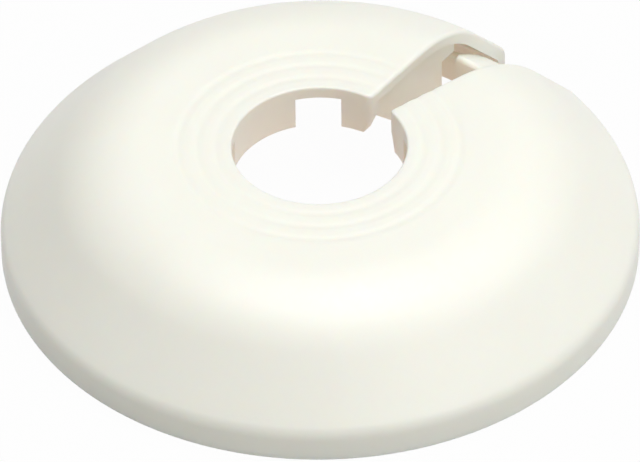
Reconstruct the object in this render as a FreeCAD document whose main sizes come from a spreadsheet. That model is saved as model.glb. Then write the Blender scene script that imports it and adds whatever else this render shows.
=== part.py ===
import FreeCAD, Part
import math
import os
import re

import Sketcher

# Split collar that hides the hole around a 15 mm radiator pipe, moulded as one piece of plastic.
# The pipe runs along +Z, the rim's foot stands on the XY plane and the split opens along +X.

NODE = "pipe_collar"

# How close two lengths or volumes are that count as the same, in millimetres and cubic millimetres
SAME_LENGTH = 1e-3
SAME_VOLUME = 1e-3

# Driving sizes in millimetres and degrees
SIZES = {
    # The domed shell
    "outer_radius": 27.5,
    "height": 11.2,
    "rim_height": 2.9,
    "cone_slope": 47.2,
    "crown_round": 10.4,
    "shoulder_round": 1.9,
    "foot_round": 0.3,
    "shell_wall": 1.2,
    "plate_wall": 1.15,
    # The pipe hole and the sleeve that hangs from its edge
    "pipe_radius": 7.5,
    "sleeve_wall": 1.1,
    "sleeve_depth": 4.35,
    "notch_width": 3.95,
    "notch_count": 4,
    "notch_turn": 45.0,
    # The split, whose two cut faces flare outwards from a gap at the hole's edge
    "far_flare": 7.3,
    "far_gap": 1.14,
    "near_flare": 9.5,
    "near_gap": 1.08,
    "edge_round": 0.3,
    "lead_in_drop": 2.35,
    "lead_in_slope": 21.0,
    # The webs behind the cut faces
    "web_wall": 1.0,
    "web_slope": 44.0,
    "far_web_end": 18.0,
    "lip_end": 19.8,
    "slot_drop": 3.75,
    # The tongue that leaves the near web and slides under the far half when the split closes
    "tongue_radius": 20.1,
    "tongue_drop": 1.4,
    "tongue_skirt": 3.6,
    "tongue_wall": 1.2,
    "tongue_gap": 0.25,
    "tongue_round": 20.6,
    "tongue_foot": 2.6,
    "tongue_reach": 8.2,
    "tip_reach": 14.5,
    "tip_relief": 0.5,
    # The decorative rings around the hole, the first one at an inset from its edge
    "ring_inset": 1.37,
    "ring_pitch": 1.6,
    "ring_width": 1.2,
    "ring_depth": 0.06,
    "ring_count": 3,
    # How far a cutting profile stands clear of what it cuts
    "cut_margin": 2.0,
}

document = FreeCAD.newDocument("PipeCollar")
sheet = document.addObject("Spreadsheet::Sheet", "Sizes")
for row, (name, value) in enumerate(SIZES.items(), start=1):
    sheet.set(f"A{row}", name)
    sheet.set(f"B{row}", str(value))
    sheet.setAlias(f"B{row}", name)
document.recompute()

body = document.addObject("PartDesign::Body", "Collar")
body.Label = NODE


def cells(expression):
    """Writes an expression of size names as one of the sheet's cells."""
    return re.sub("[a-z_]+", lambda word: f"Sizes.{word[0]}" if word[0] in SIZES else word[0], expression)


def number(expression):
    """Gives the value of an expression of size names."""
    value = sheet.evalExpression(cells(expression))
    return float(getattr(value, "Value", value))


def origin_feature(role):
    """Finds one of the body's own origin planes or axes."""
    return next(feature for feature in body.Origin.OriginFeatures if feature.Role == role)


def finish_feature(feature):
    """Makes a feature the body's tip and works it out, so that the next one can build on its shape."""
    body.Tip = feature
    document.recompute()
    return feature


def new_sketch(name, plane, turn=None, axis=FreeCAD.Vector(0, 0, 1), offset=None):
    """Adds a sketch on an origin plane, turned about one of its own axes and moved along its normal."""
    sketch = body.newObject("Sketcher::SketchObject", name)
    sketch.AttachmentSupport = (origin_feature(plane), [""])
    sketch.MapMode = "FlatFace"
    if turn is not None:
        sketch.AttachmentOffset = FreeCAD.Placement(FreeCAD.Vector(), FreeCAD.Rotation(axis, number(turn)))
        sketch.setExpression("AttachmentOffset.Rotation.Angle", cells(turn))
    if offset is not None:
        for coordinate, expression in zip("xyz", offset):
            sketch.setExpression(f"AttachmentOffset.Base.{coordinate}", cells(expression))
    return sketch


def bind_point(sketch, edge, end, point):
    """Ties a sketch point's two coordinates to expressions of size names."""
    for kind, expression in zip(("DistanceX", "DistanceY"), point):
        index = sketch.addConstraint(Sketcher.Constraint(kind, -1, 1, edge, end, number(expression)))
        sketch.setExpression(f"Constraints[{index}]", cells(expression))


def arc_between(start, end, radius, turn):
    """Gives the arc from start to end that turns left (1) or right (-1) at a radius, by under half a circle."""
    chord = end - start
    half = chord.Length / 2
    left = FreeCAD.Vector(-chord.y, chord.x, 0).normalize()
    height = radius - math.sqrt(radius ** 2 - half ** 2)
    return Part.Arc(start, (start + end) / 2 - left * (turn * height), end)


def add_outline(sketch, corners):
    """Draws a closed outline through corners given as pairs of expressions.

    The edge that leaves a corner is straight, or an arc where the corner also gives a radius and a turn.
    """
    places = [FreeCAD.Vector(number(corner[0]), number(corner[1]), 0) for corner in corners]
    edges = []
    for corner, start, end in zip(corners, places, places[1:] + places[:1]):
        if len(corner) == 2:
            index = sketch.addGeometry(Part.LineSegment(start, end), False)
            edges.append((index, 1, 2))
            continue
        radius, turn = corner[2:]
        index = sketch.addGeometry(arc_between(start, end, number(radius), turn), False)
        edges.append((index, 1, 2) if turn > 0 else (index, 2, 1))
        size = sketch.addConstraint(Sketcher.Constraint("Radius", index, number(radius)))
        sketch.setExpression(f"Constraints[{size}]", cells(radius))
    for (index, _, last), (following, first, _) in zip(edges, edges[1:] + edges[:1]):
        sketch.addConstraint(Sketcher.Constraint("Coincident", index, last, following, first))
    for corner, (index, first, _) in zip(corners, edges):
        bind_point(sketch, index, first, corner[:2])


def add_fillet(name, radius, wanted):
    """Rounds every edge of the tip whose middle and shape pass a test, and stops if there is none."""
    base = body.Tip
    names = [f"Edge{index}" for index, edge in enumerate(base.Shape.Edges, start=1) if wanted(edge)]
    if not names:
        raise RuntimeError(f"{name} finds no edge")
    fillet = body.newObject("PartDesign::Fillet", name)
    fillet.Base = (base, names)
    fillet.Radius = number(radius)
    fillet.setExpression("Radius", cells(radius))
    return finish_feature(fillet)


def ring_edge(radius, level):
    """Makes the test that picks a circular edge about the pipe's axis."""
    def wanted(edge):
        middle = edge.valueAt((edge.FirstParameter + edge.LastParameter) / 2)
        near_radius = abs(math.hypot(middle.x, middle.y) - number(radius)) < SAME_LENGTH
        return near_radius and abs(middle.z - number(level)) < SAME_LENGTH
    return wanted


def removes(feature, before):
    """Stops the build if a cut leaves the solid as it was."""
    if before - feature.Shape.Volume < SAME_VOLUME:
        raise RuntimeError(f"{feature.Name} cuts nothing")
    return feature


def add_pocket(name, sketch, length):
    """Cuts a sketch's outline out of the solid, along the sketch's normal."""
    before = body.Tip.Shape.Volume
    pocket = body.newObject("PartDesign::Pocket", name)
    pocket.Profile = sketch
    pocket.Type = "Length"
    pocket.Length = number(length)
    pocket.setExpression("Length", cells(length))
    pocket.Reversed = True
    return removes(finish_feature(pocket), before)


# Places that several outlines share
CONE_COSINE = "cos(cone_slope * 1 deg)"
CONE_TANGENT = "tan(cone_slope * 1 deg)"
HALF_TANGENT = "tan(cone_slope * 0.5 deg)"
CROWN_CORNER = f"(outer_radius - (height - rim_height) / {CONE_TANGENT})"
PLATE_UNDERSIDE = "(height - plate_wall)"
SLEEVE_RADIUS = "(pipe_radius + sleeve_wall)"
INNER_RADIUS = "(outer_radius - shell_wall)"


def inside_cone(depth, level):
    """Gives the radius at a level of the cone that lies at a depth below the shell's outer cone."""
    return f"(outer_radius - ({level} - rim_height + ({depth}) / {CONE_COSINE}) / {CONE_TANGENT})"


INNER_CROWN = inside_cone("shell_wall", PLATE_UNDERSIDE)
INNER_ROUND = "(crown_round - shell_wall)"
INNER_START = f"({INNER_CROWN} - {INNER_ROUND} * {HALF_TANGENT})"
TONGUE_TOP = (f"({PLATE_UNDERSIDE} - {INNER_ROUND} - tongue_drop"
              f" + sqrt({INNER_ROUND}^2 - (tongue_radius - {INNER_START})^2))")
WEB_FOOT = f"({TONGUE_TOP} - tongue_skirt)"

# The shell and sleeve, one section turned about the pipe's axis, with soft rings pressed into the plate
INNER_SHOULDER = f"(rim_height + shell_wall * {CONE_TANGENT} - shell_wall / {CONE_COSINE})"
RING_ROUND = "(ring_width^2 / (16 * ring_depth) + ring_depth / 4)"
ring_corners = []
for ring in reversed(range(SIZES["ring_count"])):
    middle = f"(pipe_radius + ring_inset + {ring} * ring_pitch)"
    ring_corners += [
        (f"{middle} + ring_width / 2", "height", RING_ROUND, 1),
        (f"{middle} + ring_width / 4", "height - ring_depth / 2", RING_ROUND, -1),
        (f"{middle} - ring_width / 4", "height - ring_depth / 2", RING_ROUND, 1),
        (f"{middle} - ring_width / 2", "height"),
    ]
section = new_sketch("ShellSection", "XZ_Plane")
add_outline(section, [
    ("outer_radius", "0"),
    ("outer_radius", "rim_height"),
    (CROWN_CORNER, "height"),
    *ring_corners,
    ("pipe_radius + edge_round", "height", "edge_round", 1),
    ("pipe_radius", "height - edge_round"),
    ("pipe_radius", "height - sleeve_depth"),
    (SLEEVE_RADIUS, "height - sleeve_depth"),
    (SLEEVE_RADIUS, PLATE_UNDERSIDE),
    (INNER_CROWN, PLATE_UNDERSIDE),
    (INNER_RADIUS, INNER_SHOULDER),
    (INNER_RADIUS, "0"),
])
shell = body.newObject("PartDesign::Revolution", "Shell")
shell.Profile = section
shell.ReferenceAxis = (origin_feature("Z_Axis"), [""])
shell.Angle = 360
finish_feature(shell)

add_fillet("Crown", "crown_round", ring_edge(CROWN_CORNER, "height"))
add_fillet("InnerCrown", INNER_ROUND, ring_edge(INNER_CROWN, PLATE_UNDERSIDE))
add_fillet("Shoulder", "shoulder_round", ring_edge("outer_radius", "rim_height"))
add_fillet("InnerShoulder", "shoulder_round - shell_wall", ring_edge(INNER_RADIUS, INNER_SHOULDER))
add_fillet("Foot", "foot_round", ring_edge("outer_radius", "0"))

# Notches through the sleeve, which let its tabs flex against the pipe
notch_outline = new_sketch("NotchOutline", "XY_Plane", turn="notch_turn")
add_outline(notch_outline, [
    ("pipe_radius - cut_margin", "-notch_width / 2"),
    (f"{SLEEVE_RADIUS} + cut_margin / 2", "-notch_width / 2"),
    (f"{SLEEVE_RADIUS} + cut_margin / 2", "notch_width / 2"),
    ("pipe_radius - cut_margin", "notch_width / 2"),
])
notch = add_pocket("Notch", notch_outline, PLATE_UNDERSIDE)
notches = body.newObject("PartDesign::PolarPattern", "Notches")
notches.Originals = [notch]
notches.Axis = (origin_feature("Z_Axis"), [""])
notches.Angle = 360
notches.Occurrences = int(SIZES["notch_count"])
notches.setExpression("Occurrences", cells("notch_count"))
removes(finish_feature(notches), notch.Shape.Volume)

# The split, cut right through from the pipe hole to the rim
FAR_TANGENT = "tan(far_flare * 1 deg)"
NEAR_TANGENT = "tan(near_flare * 1 deg)"
FAR_OFFSET = f"(far_gap - pipe_radius * {FAR_TANGENT})"
NEAR_OFFSET = f"(near_gap - pipe_radius * {NEAR_TANGENT})"
SPLIT_START = "(pipe_radius - cut_margin)"
SPLIT_END = "(outer_radius + cut_margin)"
split_outline = new_sketch("SplitOutline", "XY_Plane")
add_outline(split_outline, [
    (SPLIT_START, f"-{NEAR_OFFSET} - {SPLIT_START} * {NEAR_TANGENT}"),
    (SPLIT_END, f"-{NEAR_OFFSET} - {SPLIT_END} * {NEAR_TANGENT}"),
    (SPLIT_END, f"{FAR_OFFSET} + {SPLIT_END} * {FAR_TANGENT}"),
    (SPLIT_START, f"{FAR_OFFSET} + {SPLIT_START} * {FAR_TANGENT}"),
])
add_pocket("Split", split_outline, "height + cut_margin")

# Lead-in slopes on the sleeve's two ends, which guide the pipe through the split
LEAD_IN_TOP = "(height - lead_in_drop)"
LEAD_IN_FOOT = "(height - sleeve_depth - cut_margin)"
LEAD_IN_SPREAD = f"({LEAD_IN_TOP} - {LEAD_IN_FOOT}) * tan(lead_in_slope * 1 deg)"
lead_in_outline = new_sketch("LeadInOutline", "YZ_Plane")
add_outline(lead_in_outline, [
    ("-near_gap", LEAD_IN_TOP),
    (f"-near_gap - {LEAD_IN_SPREAD}", LEAD_IN_FOOT),
    (f"far_gap + {LEAD_IN_SPREAD}", LEAD_IN_FOOT),
    ("far_gap", LEAD_IN_TOP),
])
add_pocket("LeadIn", lead_in_outline, f"{SLEEVE_RADIUS} + cut_margin / 2")


def add_web(name, turn, offset, outline, reversed_side):
    """Adds the upright web that stiffens one half behind its cut face."""
    sketch = new_sketch(f"{name}Outline", "XZ_Plane", turn, FreeCAD.Vector(0, 1, 0), offset)
    add_outline(sketch, outline)
    web = body.newObject("PartDesign::Pad", name)
    web.Profile = sketch
    web.Type = "Length"
    web.Length = number("web_wall")
    web.setExpression("Length", cells("web_wall"))
    web.Reversed = reversed_side
    return finish_feature(web)


# The far web stops short of the tongue, with a low lip over the slot that the tongue goes through
WEB_TOP = "(height - plate_wall / 2)"
WEB_START = "(pipe_radius + sleeve_wall / 2)"
WEB_SLOPE_END = f"({WEB_START} + ({LEAD_IN_TOP} - {WEB_FOOT}) / tan(web_slope * 1 deg))"
CROWN_START = f"({CROWN_CORNER} - crown_round * {HALF_TANGENT})"
MIDDLE_ROUND = "(crown_round - shell_wall / 2)"


def crown_middle(share):
    """Gives a point inside the crown's wall, at a share of its turn from plate to cone."""
    across = f"{CROWN_START} + {MIDDLE_ROUND} * sin(cone_slope * {share} * 1 deg)"
    up = f"height - crown_round + {MIDDLE_ROUND} * cos(cone_slope * {share} * 1 deg)"
    return across, up


SLOT_TOP = "(height - slot_drop)"
LIP_TOP = f"(height - crown_round + sqrt({MIDDLE_ROUND}^2 - (lip_end - {CROWN_START})^2))"
add_web("FarWeb", "far_flare", ("0", "0", f"-{FAR_OFFSET}"), [
    (WEB_START, WEB_TOP),
    (WEB_START, LEAD_IN_TOP),
    (WEB_SLOPE_END, WEB_FOOT),
    ("far_web_end", WEB_FOOT),
    ("far_web_end", SLOT_TOP),
    ("lip_end", SLOT_TOP),
    ("lip_end", LIP_TOP),
    (CROWN_START, WEB_TOP),
], True)

# The near web runs out to the rim and carries the tongue
RIM_MIDDLE = "(outer_radius - shell_wall / 2)"
SHOULDER_MIDDLE = f"(rim_height + shell_wall / 2 * {CONE_TANGENT} - shell_wall / 2 / {CONE_COSINE})"
add_web("NearWeb", "-near_flare", ("0", "0", NEAR_OFFSET), [
    (WEB_START, WEB_TOP),
    (WEB_START, LEAD_IN_TOP),
    (WEB_SLOPE_END, WEB_FOOT),
    ("tongue_radius + tongue_wall", WEB_FOOT),
    (RIM_MIDDLE, "tongue_foot"),
    (RIM_MIDDLE, SHOULDER_MIDDLE),
    crown_middle(1),
    crown_middle(0.5),
    (CROWN_START, WEB_TOP),
], False)

# The tongue's arched top runs from its upright front down to the shell's inside. It crosses the split from the near
# web, and its tip, stepped down on the top and the front, goes on under the far half.
TONGUE_EDGE = inside_cone("shell_wall + tongue_gap", "tongue_foot")
TONGUE_ACROSS = f"({TONGUE_EDGE} - tongue_radius)"
TONGUE_FALL = f"({TONGUE_TOP} - tongue_foot)"
TONGUE_CHORD = f"sqrt({TONGUE_ACROSS}^2 + {TONGUE_FALL}^2)"
TONGUE_HANG = f"(sqrt(tongue_round^2 - {TONGUE_CHORD}^2 / 4) / {TONGUE_CHORD})"
ARCH_RADIUS = f"((tongue_radius + {TONGUE_EDGE}) / 2 - {TONGUE_FALL} * {TONGUE_HANG})"
ARCH_LEVEL = f"(({TONGUE_TOP} + tongue_foot) / 2 - {TONGUE_ACROSS} * {TONGUE_HANG})"
TONGUE_BACK = "(tongue_radius + tongue_wall)"
TONGUE_ROOT = (f"near_flare + asin(({NEAR_OFFSET} + web_wall / 2) * 2"
               f" / (tongue_radius + {TONGUE_EDGE})) / 1 deg")


def arch_at_foot(round_size):
    """Gives the radius at which an arch of the tongue comes down to its foot."""
    return f"({ARCH_RADIUS} + sqrt(({round_size})^2 - (tongue_foot - {ARCH_LEVEL})^2))"


def arch_above(radius, round_size):
    """Gives the level of an arch of the tongue at a radius."""
    return f"({ARCH_LEVEL} + sqrt(({round_size})^2 - ({radius} - {ARCH_RADIUS})^2))"


def add_tongue(name, relief, reach):
    """Adds a stretch of the tongue, stepped in by a relief, from inside the near web to an angle past +X."""
    front = f"(tongue_radius + {relief})"
    outer_arch = f"(tongue_round - {relief})"
    inner_arch = "(tongue_round - tongue_wall)"
    sketch = new_sketch(f"{name}Section", "XZ_Plane")
    add_outline(sketch, [
        (front, WEB_FOOT),
        (front, arch_above(front, outer_arch), outer_arch, -1),
        (arch_at_foot(outer_arch), "tongue_foot"),
        (arch_at_foot(inner_arch), "tongue_foot", inner_arch, 1),
        (TONGUE_BACK, arch_above(TONGUE_BACK, inner_arch)),
        (TONGUE_BACK, WEB_FOOT),
    ])
    stretch = body.newObject("PartDesign::Revolution", name)
    stretch.Profile = sketch
    stretch.ReferenceAxis = (origin_feature("Z_Axis"), [""])
    stretch.Type = "TwoAngles"
    stretch.Angle = number(reach)
    stretch.setExpression("Angle", cells(reach))
    stretch.Angle2 = number(TONGUE_ROOT)
    stretch.setExpression("Angle2", cells(TONGUE_ROOT))
    return finish_feature(stretch)


add_tongue("Tongue", "0", "tongue_reach")
add_tongue("TongueTip", "tip_relief", "tip_reach")


# The outside lies below its sharp outline by less than this, at its roundings and in the rings
TOP_SAG = "max(shoulder_round / 10; edge_round / 2; 2 * ring_depth)"


def outer_level(radius):
    """Gives the height of the shell's outside at a radius, with its shoulder left sharp."""
    past_plate = radius - number(CROWN_START)
    if past_plate <= 0:
        return number("height")
    if past_plate <= number("crown_round * sin(cone_slope * 1 deg)"):
        crown = number("crown_round")
        return number("height") - crown + math.sqrt(crown ** 2 - past_plate ** 2)
    return number("rim_height") + (number("outer_radius") - radius) * number(CONE_TANGENT)


def is_outside_edge(edge):
    """Tells whether an edge is where the outside meets one of the split's cut faces."""
    middle = edge.valueAt((edge.FirstParameter + edge.LastParameter) / 2)
    radius = math.hypot(middle.x, middle.y)
    on_far = abs(middle.y - number(FAR_OFFSET) - middle.x * number(FAR_TANGENT)) < SAME_LENGTH
    on_near = abs(middle.y + number(NEAR_OFFSET) + middle.x * number(NEAR_TANGENT)) < SAME_LENGTH
    on_rim = abs(radius - number("outer_radius")) < SAME_LENGTH
    on_top = middle.z > outer_level(radius) - number(TOP_SAG)
    return (on_far or on_near) and (on_rim or on_top)


add_fillet("SplitEdges", "edge_round", is_outside_edge)

# Every object has to be sound before the collar is written
for item in document.Objects:
    if {"Invalid", "Error"} & set(item.State):
        raise RuntimeError(f"{item.Name} failed: {item.State}")
collar = body.Shape
if collar.isNull() or not collar.isValid() or len(collar.Solids) != 1:
    raise RuntimeError(f"{NODE} isn't one sound solid")
os.makedirs("parts", exist_ok=True)
collar.exportStep(f"parts/{NODE}.step")
box = collar.optimalBoundingBox(True, False)
print(f"{NODE}: {collar.Volume:.1f} mm3, {box.XMin:.2f} to {box.XMax:.2f}, {box.YMin:.2f} to {box.YMax:.2f},"
      f" {box.ZMin:.2f} to {box.ZMax:.2f}")
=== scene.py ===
"""Looks of a split radiator pipe collar, moulded as one piece of off-white plastic.

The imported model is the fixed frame: the pipe runs along +Z, the rim stands on z = 0 and the split opens
along +X. Shapes are worked out in millimetres and put into their meshes in metres.
"""

import logging
import math
from dataclasses import dataclass, field
from enum import Enum

import bpy
import numpy as np
from mathutils import Matrix, Vector

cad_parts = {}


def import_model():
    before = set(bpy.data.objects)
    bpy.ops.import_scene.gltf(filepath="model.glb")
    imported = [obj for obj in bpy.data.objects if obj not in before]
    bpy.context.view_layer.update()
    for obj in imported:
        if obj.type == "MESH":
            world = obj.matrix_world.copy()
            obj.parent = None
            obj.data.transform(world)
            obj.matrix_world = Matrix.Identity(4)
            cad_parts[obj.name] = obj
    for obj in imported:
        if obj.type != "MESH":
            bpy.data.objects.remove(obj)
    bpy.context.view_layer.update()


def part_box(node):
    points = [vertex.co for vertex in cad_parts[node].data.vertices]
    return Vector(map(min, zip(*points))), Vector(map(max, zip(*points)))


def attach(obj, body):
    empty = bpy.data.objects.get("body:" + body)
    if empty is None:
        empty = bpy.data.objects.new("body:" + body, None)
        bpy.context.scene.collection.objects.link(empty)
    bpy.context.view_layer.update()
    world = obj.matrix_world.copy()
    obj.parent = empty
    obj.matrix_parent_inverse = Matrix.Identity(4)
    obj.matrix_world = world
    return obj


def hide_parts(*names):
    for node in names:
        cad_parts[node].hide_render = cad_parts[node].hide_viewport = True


LOG = logging.getLogger("pipe_collar")
NODE = "pipe_collar"
BODY = "root"
METRES = 0.001
PIPE_RADIUS = 7.5
# Sockets of the colour mix node, which share their names with its other sockets
MIX_FIRST = 6
MIX_SECOND = 7
MIX_RESULT = 2


class Side(Enum):
    """The two cut faces of the split, by the way their angle runs about the pipe."""

    FAR = 1
    NEAR = -1


def linear(code: str) -> tuple[float, float, float, float]:
    """Turns an sRGB hex colour into linear red, green, blue and alpha.

    Args:
        code: Six hex digits, two for each channel.

    Returns:
        The colour as the shaders read it, fully opaque.
    """
    shown = np.array([int(code[start:start + 2], 16) for start in (0, 2, 4)]) / 255
    light = np.where(shown <= 0.04045, shown / 12.92, ((shown + 0.055) / 1.055) ** 2.4)
    return (*(float(value) for value in light), 1.0)


def add_node(tree: bpy.types.NodeTree, kind: str, inputs: dict | None = None, **settings) -> bpy.types.Node:
    """Adds a node with its settings, its plain input values and its links.

    Args:
        tree: The node tree of a material or world.
        kind: The node's type name.
        inputs: A value or a linked socket for each input, by the input's name or number.
        settings: Properties of the node itself.

    Returns:
        The new node.
    """
    node = tree.nodes.new(kind)
    for name, value in settings.items():
        setattr(node, name, value)
    for name, value in (inputs or {}).items():
        if isinstance(value, bpy.types.NodeSocket):
            tree.links.new(value, node.inputs[name])
        else:
            node.inputs[name].default_value = value
    return node


def new_material(name: str) -> bpy.types.Material:
    """Makes a material with an empty node tree."""
    material = bpy.data.materials.new(name)
    material.use_nodes = True
    material.node_tree.nodes.clear()
    return material


@dataclass(frozen=True)
class MouldedPolypropylene:
    """Off-white polypropylene, injection moulded in a lightly eroded mould.

    The eye sees a satin sheen with a broad soft highlight, a warm tone where light has passed through the
    thin wall, and a faint unevenness of tone and gloss where the melt has flowed.
    """

    name: str = "moulded_satin_polypropylene"
    pale_tone: str = "F4F4EB"
    deep_tone: str = "F0F0E6"
    tone_patch_mm: float = 9.0
    tone_detail: float = 3.0
    roughness_low: float = 0.34
    roughness_high: float = 0.42
    gloss_patch_mm: float = 3.0
    fine_detail: float = 2.0
    # The mould's real grain is about 0.05 mm, and is drawn coarser here so that it shows in the render
    grain_mm: float = 0.30
    grain_height_mm: float = 0.004
    ior: float = 1.49
    glow_weight: float = 0.3
    glow_reach_mm: tuple[float, float, float] = (1.6, 1.0, 0.6)

    def material(self) -> bpy.types.Material:
        """Builds the plastic's node material."""
        material = new_material(self.name)
        tree = material.node_tree
        place = add_node(tree, "ShaderNodeTexCoord").outputs["Object"]
        tone = self.noise(tree, place, self.tone_patch_mm, self.tone_detail)
        colour = add_node(tree, "ShaderNodeMix", {
            "Factor": tone, MIX_FIRST: linear(self.deep_tone), MIX_SECOND: linear(self.pale_tone)},
            data_type="RGBA")
        gloss = add_node(tree, "ShaderNodeMapRange", {
            "Value": self.noise(tree, place, self.gloss_patch_mm, self.fine_detail),
            "To Min": self.roughness_low, "To Max": self.roughness_high})
        bump = add_node(tree, "ShaderNodeBump", {
            "Height": self.noise(tree, place, self.grain_mm, self.fine_detail),
            "Strength": 1.0, "Distance": self.grain_height_mm * METRES})
        plastic = add_node(tree, "ShaderNodeBsdfPrincipled", {
            "Base Color": colour.outputs[MIX_RESULT], "Roughness": gloss.outputs["Result"],
            "Normal": bump.outputs["Normal"], "IOR": self.ior,
            "Subsurface Weight": self.glow_weight, "Subsurface Scale": METRES,
            "Subsurface Radius": self.glow_reach_mm})
        add_node(tree, "ShaderNodeOutputMaterial", {"Surface": plastic.outputs["BSDF"]})
        return material

    @staticmethod
    def noise(tree: bpy.types.NodeTree, place: bpy.types.NodeSocket, patch_mm: float,
              detail: float) -> bpy.types.NodeSocket:
        """Adds noise whose patches have a real size.

        Args:
            tree: The material's node tree.
            place: The coordinates, in metres.
            patch_mm: The size of a patch.
            detail: How many finer layers it has.

        Returns:
            The noise's value.
        """
        node = add_node(tree, "ShaderNodeTexNoise", {
            "Vector": place, "Scale": 1 / (patch_mm * METRES), "Detail": detail})
        return node.outputs["Fac"]


@dataclass(frozen=True)
class PaleFloor:
    """A matt white studio table, which shows white and keeps a faint shadow."""

    name: str = "matt_white_table"
    tone: str = "C9C9C7"
    shown_white: float = 0.97

    def material(self) -> bpy.types.Material:
        """Builds the table's node material: white to the camera, and a lit matt surface to the object."""
        material = new_material(self.name)
        tree = material.node_tree
        path = add_node(tree, "ShaderNodeLightPath").outputs
        seen = add_node(tree, "ShaderNodeMath", {
            0: path["Is Camera Ray"], 1: path["Is Glossy Ray"]}, operation="MAXIMUM")
        seen = add_node(tree, "ShaderNodeMath", {
            0: seen.outputs[0], 1: path["Is Transmission Ray"]}, operation="MAXIMUM")
        share = add_node(tree, "ShaderNodeMath", {
            0: seen.outputs[0], 1: self.shown_white}, operation="MULTIPLY")
        matt = add_node(tree, "ShaderNodeBsdfDiffuse", {"Color": linear(self.tone)})
        white = add_node(tree, "ShaderNodeEmission", {"Color": linear("FFFFFF"), "Strength": 1.0})
        mixed = add_node(tree, "ShaderNodeMixShader", {
            0: share.outputs[0], 1: matt.outputs["BSDF"], 2: white.outputs["Emission"]})
        add_node(tree, "ShaderNodeOutputMaterial", {"Surface": mixed.outputs["Shader"]})
        return material


@dataclass(frozen=True)
class Arc:
    """One rounded corner of an outline: a centre, a radius and the angles in degrees that it runs between.

    With a radius of 0 it is a sharp corner. It also says how many points the arc and the run after it have.
    """

    across: float
    up: float
    radius: float = 0.0
    first: float = 0.0
    last: float = 0.0
    arc_points: int = 1
    run_points: int = 0

    def points(self) -> np.ndarray:
        """Gives the corner's points: the centre plus the radius along evenly spaced angles."""
        angle = np.radians(np.linspace(self.first, self.last, self.arc_points))
        circle = np.column_stack((np.cos(angle), np.sin(angle)))
        return np.array([self.across, self.up]) + self.radius * circle


def outline(arcs: list[Arc]) -> np.ndarray:
    """Joins rounded corners by straight runs.

    Args:
        arcs: The corners in order.

    Returns:
        Points along the whole line, each run divided evenly.
    """
    bends = [arc.points() for arc in arcs]
    stretches = []
    for arc, here, there in zip(arcs, bends, bends[1:] + [None]):
        stretches.append(here)
        if there is not None and arc.run_points:
            share = np.linspace(0, 1, arc.run_points + 2)[1:-1, None]
            stretches.append(here[-1] + share * (there[0] - here[-1]))
    return np.concatenate(stretches)


def tube_faces(rows: int, ring: int) -> np.ndarray:
    """Numbers the quads of a grid whose rows are closed rings.

    Args:
        rows: How many rings there are.
        ring: How many points each ring has.

    Returns:
        One row of four point numbers for each quad.
    """
    row, step = np.meshgrid(np.arange(rows - 1), np.arange(ring), indexing="ij")
    following = (step + 1) % ring
    this_row, next_row = row * ring, (row + 1) * ring
    quads = (this_row + step, this_row + following, next_row + following, next_row + step)
    return np.stack(quads, axis=-1).reshape(-1, 4)


def mesh_object(name: str, points: np.ndarray, faces: list) -> bpy.types.Object:
    """Puts points in millimetres and faces into a new object at the origin.

    Args:
        name: The object's name.
        points: One row for each point.
        faces: Point numbers of each face.

    Returns:
        The object, linked to the scene.
    """
    mesh = bpy.data.meshes.new(name)
    mesh.from_pydata((points.reshape(-1, 3) * METRES).tolist(), [], faces)
    mesh.validate()
    piece = bpy.data.objects.new(name, mesh)
    bpy.context.scene.collection.objects.link(piece)
    return piece


def capped_sweep(name: str, grid: np.ndarray) -> bpy.types.Object:
    """Makes a closed piece from an outline carried along a path, with a flat face at each end.

    Args:
        name: The object's name.
        grid: Points by row of the path and by step of the outline.

    Returns:
        The new object.
    """
    rows, ring = grid.shape[:2]
    last = (rows - 1) * ring
    ends = [list(range(ring))[::-1], list(range(last, last + ring))]
    return mesh_object(name, grid, tube_faces(rows, ring).tolist() + ends)


@dataclass
class Split:
    """The flared split: two upright cut faces, turned outwards from a gap at the hole's edge."""

    pipe_radius: float = PIPE_RADIUS
    far_flare: float = 7.3
    far_gap: float = 1.14
    near_flare: float = 9.5
    near_gap: float = 1.08

    def plane(self, side: Side) -> tuple[float, float]:
        """Gives a cut face's flare in radians and its distance from the pipe's axis."""
        flare, gap = (self.far_flare, self.far_gap) if side is Side.FAR else (self.near_flare, self.near_gap)
        turn = math.radians(flare)
        return turn, gap * math.cos(turn) - self.pipe_radius * math.sin(turn)

    def angle(self, side: Side, radius: np.ndarray, depth: np.ndarray | float) -> np.ndarray:
        """Gives the angle about the pipe at which a radius meets a plane behind a cut face.

        A plane at a distance from the axis meets a circle where the sine of the angle from the plane's own
        direction is that distance over the radius.

        Args:
            side: Which cut face.
            radius: Distances from the pipe's axis.
            depth: How far the plane lies behind the cut face.

        Returns:
            Angles in radians from +X, positive towards +Y.
        """
        flare, distance = self.plane(side)
        return side.value * (flare + np.arcsin((distance + depth) / radius))

    def place(self, side: Side, along: np.ndarray, up: np.ndarray, depth: np.ndarray | float) -> np.ndarray:
        """Puts points of a cut face's own plane into space.

        Args:
            side: Which cut face.
            along: Distances along the face, from the foot of the pipe's axis.
            up: Heights.
            depth: How far behind the face they lie.

        Returns:
            The points in space.
        """
        flare, distance = self.plane(side)
        behind = distance + depth
        x = along * math.cos(flare) - behind * math.sin(flare)
        y = side.value * (along * math.sin(flare) + behind * math.cos(flare))
        return np.stack(np.broadcast_arrays(x, y, up), axis=-1)


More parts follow.
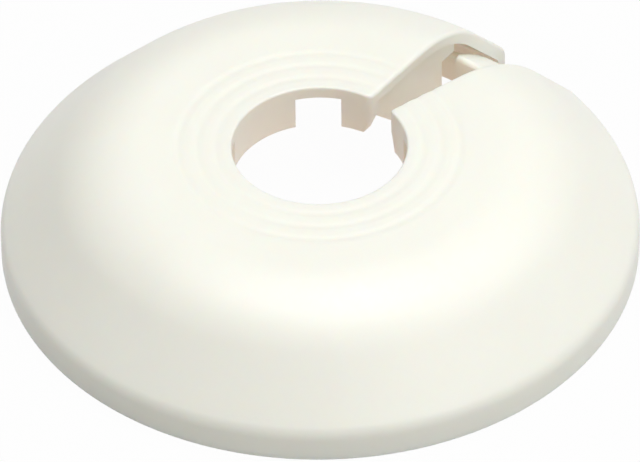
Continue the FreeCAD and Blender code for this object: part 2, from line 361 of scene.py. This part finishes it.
@dataclass
class Wall:
    """Section of the collar's wall, from the sleeve's lower end over plate and dome to the rim's foot."""

    outer_radius: float
    height: float
    rim_height: float = 2.9
    cone_slope: float = 47.2
    crown_round: float = 10.4
    shoulder_round: float = 1.9
    foot_round: float = 0.3
    shell_wall: float = 1.2
    plate_wall: float = 1.15
    pipe_radius: float = PIPE_RADIUS
    sleeve_wall: float = 1.1
    sleeve_depth: float = 4.35
    lead_in_drop: float = 2.35
    hole_round: float = 0.2
    edge_round: float = 0.35
    edge_fade: float = 0.7
    edge_rows: int = 8
    guard_rows: tuple[float, float] = (0.35, 0.75)
    sleeve_end_round: float = 0.55
    end_fade: float = 1.6
    foot_share: float = 0.15
    corner_round: float = 0.25
    tip_round: float = 0.15
    ring_inset: float = 1.37
    ring_pitch: float = 1.6
    ring_width: float = 1.2
    ring_depth: float = 0.06
    ring_count: int = 3
    # Points of the section's corners and runs, the same on its outer and inner line
    tip_points: int = 4
    lead_in_points: int = 4
    sleeve_points: int = 9
    hole_points: int = 7
    plate_points: int = 52
    crown_points: int = 25
    cone_points: int = 9
    shoulder_points: int = 10
    rim_points: int = 4
    foot_points: int = 6

    def __post_init__(self) -> None:
        """Works out the places that several pieces share."""
        slope = math.radians(self.cone_slope)
        self.half_tangent = math.tan(slope / 2)
        self.plate_underside = self.height - self.plate_wall
        self.sleeve_radius = self.pipe_radius + self.sleeve_wall
        self.sleeve_foot = self.height - self.sleeve_depth
        self.lead_in_top = self.height - self.lead_in_drop
        self.inner_radius = self.outer_radius - self.shell_wall
        self.inner_round = self.crown_round - self.shell_wall
        self.crown_start = self.cone_radius(0, self.height) - self.crown_round * self.half_tangent
        self.inner_start = (self.cone_radius(self.shell_wall, self.plate_underside)
                            - self.inner_round * self.half_tangent)

    def cone_radius(self, depth: float, level: float) -> float:
        """Gives the radius at a level of the cone that lies at a depth below the outer cone."""
        slope = math.radians(self.cone_slope)
        return self.outer_radius - (level - self.rim_height + depth / math.cos(slope)) / math.tan(slope)

    def cone_level(self, depth: float, radius: float) -> float:
        """Gives the level at a radius of the cone that lies at a depth below the outer cone."""
        slope = math.radians(self.cone_slope)
        return self.rim_height + (self.outer_radius - radius) * math.tan(slope) - depth / math.cos(slope)

    def crown_middle(self, share: float) -> tuple[float, float]:
        """Gives a point inside the crown's wall, at a share of its turn from plate to cone."""
        turn = math.radians(self.cone_slope) * share
        middle = self.crown_round - self.shell_wall / 2
        across = self.crown_start + middle * math.sin(turn)
        return across, self.height - self.crown_round + middle * math.cos(turn)

    def outside(self) -> np.ndarray:
        """Gives the outer line, with soft rings pressed into the plate: dips of one cosine wave each."""
        turn = 90 - self.cone_slope
        shoulder = self.rim_height - self.shoulder_round * math.tan(math.radians(turn / 2))
        line = outline([
            Arc(self.pipe_radius + self.tip_round, self.sleeve_foot + self.tip_round, self.tip_round,
                270, 180, self.tip_points, self.lead_in_points),
            Arc(self.pipe_radius, self.lead_in_top, run_points=self.sleeve_points),
            Arc(self.pipe_radius + self.hole_round, self.height - self.hole_round, self.hole_round, 180, 90,
                self.hole_points, self.plate_points),
            Arc(self.crown_start, self.height - self.crown_round, self.crown_round, 90, turn,
                self.crown_points, self.cone_points),
            Arc(self.outer_radius - self.shoulder_round, shoulder, self.shoulder_round, turn, 0,
                self.shoulder_points, self.rim_points),
            Arc(self.outer_radius - self.foot_round, self.foot_round, self.foot_round, 0, -90,
                self.foot_points),
        ])
        middles = self.pipe_radius + self.ring_inset + self.ring_pitch * np.arange(self.ring_count)
        apart = np.abs(line[:, :1] - middles) / self.ring_width
        dips = np.where(apart < 0.5, 0.5 + 0.5 * np.cos(2 * np.pi * apart), 0).sum(axis=1)
        on_plate = line[:, 1] > self.plate_underside
        line[:, 1] -= self.ring_depth * dips * on_plate
        return line

    def inside(self) -> np.ndarray:
        """Gives the inner line, with as many points as the outer one on each of its stretches."""
        turn = 90 - self.cone_slope
        inner_shoulder = self.shoulder_round - self.shell_wall
        shoulder = (self.cone_level(self.shell_wall, self.inner_radius)
                    - inner_shoulder * math.tan(math.radians(turn / 2)))
        tip, corner = self.tip_round, self.corner_round
        return outline([
            Arc(self.sleeve_radius - tip, self.sleeve_foot + tip, tip, 270, 360,
                self.tip_points, self.lead_in_points),
            Arc(self.sleeve_radius, self.lead_in_top, run_points=self.sleeve_points),
            Arc(self.sleeve_radius + corner, self.plate_underside - corner, corner, 180, 90,
                self.hole_points, self.plate_points),
            Arc(self.inner_start, self.plate_underside - self.inner_round, self.inner_round, 90, turn,
                self.crown_points, self.cone_points),
            Arc(self.inner_radius - inner_shoulder, shoulder, inner_shoulder, turn, 0,
                self.shoulder_points, self.rim_points),
            Arc(self.inner_radius + tip, tip, tip, 180, 270, self.foot_points),
        ])


@dataclass
class Collar:
    """The whole moulding: shell and sleeve, notches, the webs behind the cut faces and the lap tongue."""

    wall: Wall
    split: Split = field(default_factory=Split)
    finish: MouldedPolypropylene = field(default_factory=MouldedPolypropylene)
    lead_in_slope: float = 21.0
    steps_round: int = 240
    notch_width: float = 3.95
    notch_count: int = 4
    notch_turn: float = 45.0
    cut_margin: float = 2.0
    web_wall: float = 1.0
    far_recess: float = 0.45
    near_recess: float = 0.03
    root_cover: float = 0.05
    web_slope: float = 44.0
    far_web_end: float = 18.5
    lip_end: float = 20.3
    slot_drop: float = 3.75
    tongue_radius: float = 20.1
    tongue_drop: float = 1.4
    tongue_skirt: float = 3.6
    tongue_wall: float = 1.2
    tongue_gap: float = 0.25
    tongue_round: float = 20.6
    tongue_front_round: float = 0.4
    tongue_foot: float = 2.6
    tongue_reach: float = 8.2
    tip_reach: float = 14.5
    tip_relief: float = 0.5
    tongue_steps: int = 17
    edge_steps: int = 7
    crease_angle: float = 32.0

    def __post_init__(self) -> None:
        """Works out the levels that the webs and the tongue share."""
        wall = self.wall
        beyond = self.tongue_radius - wall.inner_start
        crown = math.sqrt(wall.inner_round ** 2 - beyond ** 2)
        self.tongue_top = wall.plate_underside - wall.inner_round + crown - self.tongue_drop
        self.web_foot = self.tongue_top - self.tongue_skirt

    def build(self) -> bpy.types.Object:
        """Builds the moulding as one closed mesh and dresses it.

        Returns:
            The finished piece, riding on the body in place of its solid.
        """
        shell = self.shell()
        for part, way in ((self.notches(), "DIFFERENCE"), (self.far_web(), "UNION"),
                          (self.near_web(), "UNION"), (self.tongue(0.0, self.tongue_reach), "UNION"),
                          (self.tongue(self.tip_relief, self.tip_reach), "UNION")):
            self.combine(shell, part, way)
        mesh = shell.data
        mesh.polygons.foreach_set("use_smooth", np.ones(len(mesh.polygons), dtype=bool))
        mesh.set_sharp_from_angle(angle=math.radians(self.crease_angle))
        mesh.materials.clear()
        mesh.materials.append(self.finish.material())
        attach(shell, BODY)
        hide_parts(NODE)
        return shell

    @staticmethod
    def combine(piece: bpy.types.Object, part: bpy.types.Object, way: str) -> None:
        """Cuts a closed part out of a piece or melts it in, and removes the part.

        Args:
            piece: The closed piece that is changed.
            part: The closed part that is used up.
            way: DIFFERENCE or UNION.
        """
        change = piece.modifiers.new("combine", "BOOLEAN")
        change.operation = way
        change.solver = "EXACT"
        change.object = part
        bpy.context.view_layer.update()
        worked = piece.evaluated_get(bpy.context.evaluated_depsgraph_get())
        old_mesh = piece.data
        piece.data = bpy.data.meshes.new_from_object(worked)
        piece.modifiers.clear()
        piece.data.name = old_mesh.name
        bpy.data.meshes.remove(old_mesh)
        bpy.data.objects.remove(part)

    def shell(self) -> bpy.types.Object:
        """Carries the wall's section round the pipe from one cut face to the other.

        Near a cut face the rows lie in planes beside it. The outer line sinks there by a quarter circle, so
        the edge is rounded: down over the plate and the dome, and outwards on the sleeve. The sleeve's share
        fades along the plate, and its ends lean back from the lead-in level down.

        Returns:
            The closed shell.
        """
        wall = self.wall
        outer, inner = wall.outside(), wall.inside()
        line = np.concatenate((outer, inner[::-1]))
        along = np.gradient(outer, axis=0)
        inward = np.column_stack((along[:, 1], -along[:, 0])) / np.linalg.norm(along, axis=1, keepdims=True)
        by_hole = self.fade(outer[:, 0] - wall.pipe_radius, wall.end_fade)
        by_hole *= np.interp(outer[:, 1], (wall.sleeve_foot, wall.lead_in_top), (wall.foot_share, 1))
        by_top = self.fade(wall.height - outer[:, 1], wall.end_fade)
        at_hole = outer[:, 0] < wall.pipe_radius + wall.hole_round
        past_foot = np.clip(outer[:, 1] / wall.edge_fade, 0, 1)
        across = np.where(at_hole, 0, inward[:, 0] * past_foot) * wall.edge_round
        across += by_hole * wall.sleeve_end_round
        down = np.where(at_hole, -by_top, inward[:, 1] * past_foot) * wall.edge_round
        sink = np.concatenate((np.column_stack((across, down)), np.zeros_like(inner)))
        end_round = wall.edge_round + (wall.sleeve_end_round - wall.edge_round) * by_hole
        end_round = np.concatenate((end_round, np.full(len(inner), wall.edge_round)))
        on_sleeve = line[:, 0] <= wall.sleeve_radius + wall.corner_round
        lean = np.where(on_sleeve, np.clip(wall.lead_in_top - line[:, 1], 0, None), 0)
        lean *= math.tan(math.radians(self.lead_in_slope))

        # Guard rows behind the rounded edge keep its shading off the plate and the dome
        turn = np.radians(np.linspace(90, 0, wall.edge_rows))[:, None]
        guard = np.array(wall.guard_rows)[:, None]
        depth = np.concatenate((end_round * (1 - np.sin(turn)), end_round + guard))
        drop = np.concatenate((1 - np.cos(turn), np.zeros_like(guard)))
        place = line + drop[..., None] * sink
        radius, up = place[..., 0], place[..., 1]
        far = self.split.angle(Side.FAR, radius, depth + lean)
        near = 2 * np.pi + self.split.angle(Side.NEAR, radius, depth + lean)
        share = np.linspace(0, 1, self.steps_round)[1:-1, None]
        between = far[-1] + share * (near[-1] - far[-1])

        angle = np.concatenate((far, between, near[::-1]))
        plain = np.broadcast_to(line, (len(between), *line.shape))
        radius = np.concatenate((radius, plain[..., 0], radius[::-1]))
        up = np.concatenate((up, plain[..., 1], up[::-1]))
        grid = np.stack((radius * np.cos(angle), radius * np.sin(angle), up), axis=-1)
        rows, ring = grid.shape[:2]
        faces = tube_faces(rows, ring).tolist()
        step = np.arange(len(outer) - 1)
        rungs = np.column_stack((step, ring - 1 - step, ring - 2 - step, step + 1))
        faces += rungs.tolist() + (rungs[:, ::-1] + (rows - 1) * ring).tolist()
        return mesh_object("collar_moulding", grid, faces)

    @staticmethod
    def fade(distance: np.ndarray, reach: float) -> np.ndarray:
        """Gives a share that falls smoothly from one to nothing over a reach: the cubic step."""
        left = np.clip(1 - distance / reach, 0, 1)
        return left ** 2 * (3 - 2 * left)

    def notches(self) -> bpy.types.Object:
        """Makes the blocks that cut the sleeve into tabs: a rectangle carried up to the plate's underside."""
        wall = self.wall
        half = self.notch_width / 2
        start = wall.pipe_radius - self.cut_margin
        end = wall.sleeve_radius + wall.corner_round / 2
        base = np.array([(start, -half), (end, -half), (end, half), (start, half)])
        levels = np.array([wall.sleeve_foot - self.cut_margin, wall.plate_underside])
        block = np.empty((len(levels), len(base), 3))
        block[..., :2] = base
        block[..., 2] = levels[:, None]
        turns = np.radians(self.notch_turn + 360 / self.notch_count * np.arange(self.notch_count))
        spin = np.zeros((self.notch_count, 3, 3))
        spin[:, 0, 0] = np.cos(turns)
        spin[:, 0, 1] = -np.sin(turns)
        spin[:, 1, 0] = np.sin(turns)
        spin[:, 1, 1] = np.cos(turns)
        spin[:, 2, 2] = 1
        blocks = np.einsum("nij,rcj->nrci", spin, block)
        size = block.shape[0] * block.shape[1]
        faces = tube_faces(*block.shape[:2]).tolist() + [[3, 2, 1, 0], [4, 5, 6, 7]]
        every = [[point + size * number for point in face]
                 for number in range(self.notch_count) for face in faces]
        return mesh_object("notch_blocks", blocks, every)

    def web(self, name: str, side: Side, arcs: list[Arc]) -> bpy.types.Object:
        """Makes an upright web behind a cut face: an outline along the face, carried back by its thickness.

        Args:
            name: The piece's name.
            side: Which cut face it stands behind.
            arcs: The outline's corners, along the face and up.

        Returns:
            The closed web.
        """
        line = outline(arcs)
        recess = self.far_recess if side is Side.FAR else self.near_recess
        depth = np.array([recess, recess + self.web_wall])[:, None]
        grid = self.split.place(side, line[:, 0], line[:, 1], depth)
        return capped_sweep(name, grid[:, ::side.value])

    def web_start(self) -> list[Arc]:
        """Gives the corners that both webs share at the sleeve: down it, then along the slope to the foot."""
        wall = self.wall
        start = wall.pipe_radius + wall.sleeve_wall / 2
        run = (wall.lead_in_top - self.web_foot) / math.tan(math.radians(self.web_slope))
        return [Arc(start, wall.height - wall.plate_wall / 2), Arc(start, wall.lead_in_top),
                Arc(start + run, self.web_foot)]

    def far_web(self) -> bpy.types.Object:
        """Makes the far web, which stops short of the tongue with a low lip over its slot."""
        wall = self.wall
        slot_top = wall.height - self.slot_drop
        middle = wall.crown_round - wall.shell_wall / 2
        beyond = self.lip_end - wall.crown_start
        lip_top = wall.height - wall.crown_round + math.sqrt(middle ** 2 - beyond ** 2)
        return self.web("far_web", Side.FAR, self.web_start() + [
            Arc(self.far_web_end, self.web_foot), Arc(self.far_web_end, slot_top),
            Arc(self.lip_end, slot_top), Arc(self.lip_end, lip_top),
            Arc(wall.crown_start, wall.height - wall.plate_wall / 2)])

    def near_web(self) -> bpy.types.Object:
        """Makes the near web, which runs out to the rim and reaches a little below the tongue's root."""
        wall = self.wall
        middle = wall.outer_radius - wall.shell_wall / 2
        foot = self.tongue_foot - self.root_cover
        tongue_depth = wall.shell_wall + self.tongue_gap + self.tongue_wall
        tongue_inside = wall.cone_radius(tongue_depth, self.tongue_foot)
        return self.web("near_web", Side.NEAR, self.web_start() + [
            Arc(self.tongue_radius + self.tongue_wall, self.web_foot - self.root_cover),
            Arc(tongue_inside, foot), Arc(middle, foot),
            Arc(middle, wall.cone_level(wall.shell_wall / 2, middle)),
            Arc(*wall.crown_middle(1)), Arc(*wall.crown_middle(0.5)),
            Arc(wall.crown_start, wall.height - wall.plate_wall / 2)])

    def tongue(self, relief: float, reach: float) -> bpy.types.Object:
        """Makes a stretch of the lap tongue: an arched section carried round the pipe from the near web.

        The arch is one arc from the top of the upright front to the foot at the shell's inside. Its centre
        hangs below the middle of the chord, square to it.

        Args:
            relief: How far the top and the front are stepped in.
            reach: The angle about the pipe at which it ends, in degrees.

        Returns:
            The closed stretch.
        """
        wall = self.wall
        front = np.array([self.tongue_radius, self.tongue_top])
        foot_radius = wall.cone_radius(wall.shell_wall + self.tongue_gap, self.tongue_foot)
        foot = np.array([foot_radius, self.tongue_foot])
        chord = foot - front
        length = np.linalg.norm(chord)
        hang = math.sqrt(self.tongue_round ** 2 - length ** 2 / 4)
        centre = (front + foot) / 2 + np.array([chord[1], -chord[0]]) / length * hang

        outer, inner = self.tongue_round - relief, self.tongue_round - self.tongue_wall
        edge = self.tongue_front_round
        edge_across = self.tongue_radius + relief + edge
        first = math.acos((edge_across - centre[0]) / (outer - edge))
        edge_up = centre[1] + (outer - edge) * math.sin(first)
        last = math.asin((self.tongue_foot - centre[1]) / outer)
        back = self.tongue_radius + self.tongue_wall
        inner_first = math.asin((self.tongue_foot - centre[1]) / inner)
        inner_last = math.acos((back - centre[0]) / inner)
        line = outline([
            Arc(self.tongue_radius + relief, self.web_foot),
            Arc(edge_across, edge_up, edge, 180, math.degrees(first), self.edge_steps),
            Arc(*centre, outer, math.degrees(first), math.degrees(last), self.tongue_steps),
            Arc(*centre, inner, math.degrees(inner_first), math.degrees(inner_last), self.tongue_steps),
            Arc(back, self.web_foot),
        ])
        root = self.split.angle(Side.NEAR, line[:, 0], self.web_wall / 2)
        share = np.linspace(0, 1, self.tongue_steps)[:, None]
        angle = root + share * (math.radians(reach) - root)
        across = np.broadcast_to(line[:, 0], angle.shape)
        up = np.broadcast_to(line[:, 1], angle.shape)
        grid = np.stack((across * np.cos(angle), across * np.sin(angle), up), axis=-1)
        return capped_sweep("lap_tongue", grid)


@dataclass
class PhotoCamera:
    """The camera that the photograph was taken with, worked out from the collar's outline in it."""

    azimuth: float = -45.3
    elevation: float = 41.77
    distance: float = 759.3
    lens: float = 495.1
    sensor: float = 36.0
    roll: float = -0.62
    raised: float = 1.0
    sideways: float = -0.016

    def build(self) -> bpy.types.Object:
        """Makes the scene's camera.

        Returns:
            The camera, turned about its line of sight by the photograph's small roll.
        """
        turn, tilt = math.radians(self.azimuth), math.radians(self.elevation)
        right = Vector((math.cos(turn), math.sin(turn), 0))
        back = Vector((math.sin(turn) * math.cos(tilt), -math.cos(turn) * math.cos(tilt), math.sin(tilt)))
        up = back.cross(right)
        data = bpy.data.cameras.new("photo_camera")
        data.lens = self.lens
        data.sensor_width = self.sensor
        camera = bpy.data.objects.new("photo_camera", data)
        bpy.context.scene.collection.objects.link(camera)
        facing = Matrix((right, up, back)).transposed() @ Matrix.Rotation(math.radians(self.roll), 3, "Z")
        place = back * self.distance + up * self.raised + right * self.sideways
        camera.matrix_world = Matrix.Translation(place * METRES) @ facing.to_4x4()
        bpy.context.scene.camera = camera
        return camera


@dataclass(frozen=True)
class SoftBox:
    """One square soft box, aimed at the collar.

    Its direction is told as the photograph's viewer sees it: to the right, away and up.
    """

    name: str
    towards: tuple[float, float, float]
    power: float
    size: float = 420.0
    distance: float = 600.0

    def build(self, azimuth: float) -> None:
        """Hangs the box.

        Args:
            azimuth: The camera's turn about the pipe, in degrees.
        """
        towards = Matrix.Rotation(math.radians(azimuth), 3, "Z") @ Vector(self.towards).normalized()
        data = bpy.data.lights.new(self.name, "AREA")
        data.shape = "SQUARE"
        data.size = self.size * METRES
        data.energy = self.power
        lamp = bpy.data.objects.new(self.name, data)
        bpy.context.scene.collection.objects.link(lamp)
        lamp.location = towards * self.distance * METRES
        lamp.rotation_euler = towards.to_track_quat("Z", "Y").to_euler()


@dataclass
class Studio:
    """Soft light from three boxes, an even surround, a warm lamp under the collar and a pale table."""

    floor: PaleFloor = field(default_factory=PaleFloor)
    floor_size: float = 4000.0
    surround_tone: str = "FFFFFF"
    surround_strength: float = 0.27
    boxes: tuple[SoftBox, ...] = (
        SoftBox("overhead_box", (0.0, 0.0, 1.0), 2.16),
        SoftBox("right_hand_box", (0.5, 0.0, 0.87), 0.9),
        SoftBox("front_box", (0.5, -0.6, 0.64), 0.62),
    )
    under_tone: str = "FFD4C7"
    under_power: float = 0.0020
    under_width: float = 50.0
    under_height: float = 0.2
    light_bounces: int = 16

    def build(self, azimuth: float) -> None:
        """Lights the scene and lays the table.

        Args:
            azimuth: The camera's turn about the pipe, in degrees.
        """
        # White plastic sends light on many times inside the hole and under the dome
        bpy.context.scene.cycles.max_bounces = self.light_bounces
        bpy.context.scene.cycles.diffuse_bounces = self.light_bounces
        self.lay_table()
        self.light_surround()
        self.light_underside()
        for box in self.boxes:
            box.build(azimuth)

    def light_underside(self) -> None:
        """Lays a warm lamp on the table under the collar, for the light that passes through the plastic."""
        data = bpy.data.lights.new("under_lamp", "AREA")
        data.shape = "DISK"
        data.size = self.under_width * METRES
        data.energy = self.under_power
        data.color = linear(self.under_tone)[:3]
        lamp = bpy.data.objects.new("under_lamp", data)
        bpy.context.scene.collection.objects.link(lamp)
        lamp.location = (0, 0, self.under_height * METRES)
        lamp.rotation_euler = (math.pi, 0, 0)
        lamp.visible_camera = False
        lamp.visible_glossy = False

    def lay_table(self) -> None:
        """Lays the table's top at the rim's foot: one square."""
        half = self.floor_size / 2
        square = np.array([(-half, -half, 0), (half, -half, 0), (half, half, 0), (-half, half, 0)])
        table = mesh_object("table_top", square, [[0, 1, 2, 3]])
        table.data.materials.append(self.floor.material())

    def light_surround(self) -> None:
        """Gives the world one even pale light."""
        world = bpy.data.worlds.new("even_surround")
        bpy.context.scene.world = world
        world.use_nodes = True
        world.node_tree.nodes.clear()
        light = add_node(world.node_tree, "ShaderNodeBackground", {
            "Color": linear(self.surround_tone), "Strength": self.surround_strength})
        add_node(world.node_tree, "ShaderNodeOutputWorld", {"Surface": light.outputs["Background"]})


def main() -> None:
    """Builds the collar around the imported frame, then the camera, the light and the table."""
    logging.basicConfig(level=logging.INFO, format="%(name)s: %(message)s")
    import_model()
    low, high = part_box(NODE)
    bpy.context.scene.view_settings.view_transform = "Standard"
    wall = Wall(outer_radius=-low.x / METRES, height=high.z / METRES)
    piece = Collar(wall).build()
    LOG.info("%s: %d faces", piece.name, len(piece.data.polygons))
    camera = PhotoCamera()
    camera.build()
    Studio().build(camera.azimuth)


if __name__ == "__main__":
    main()
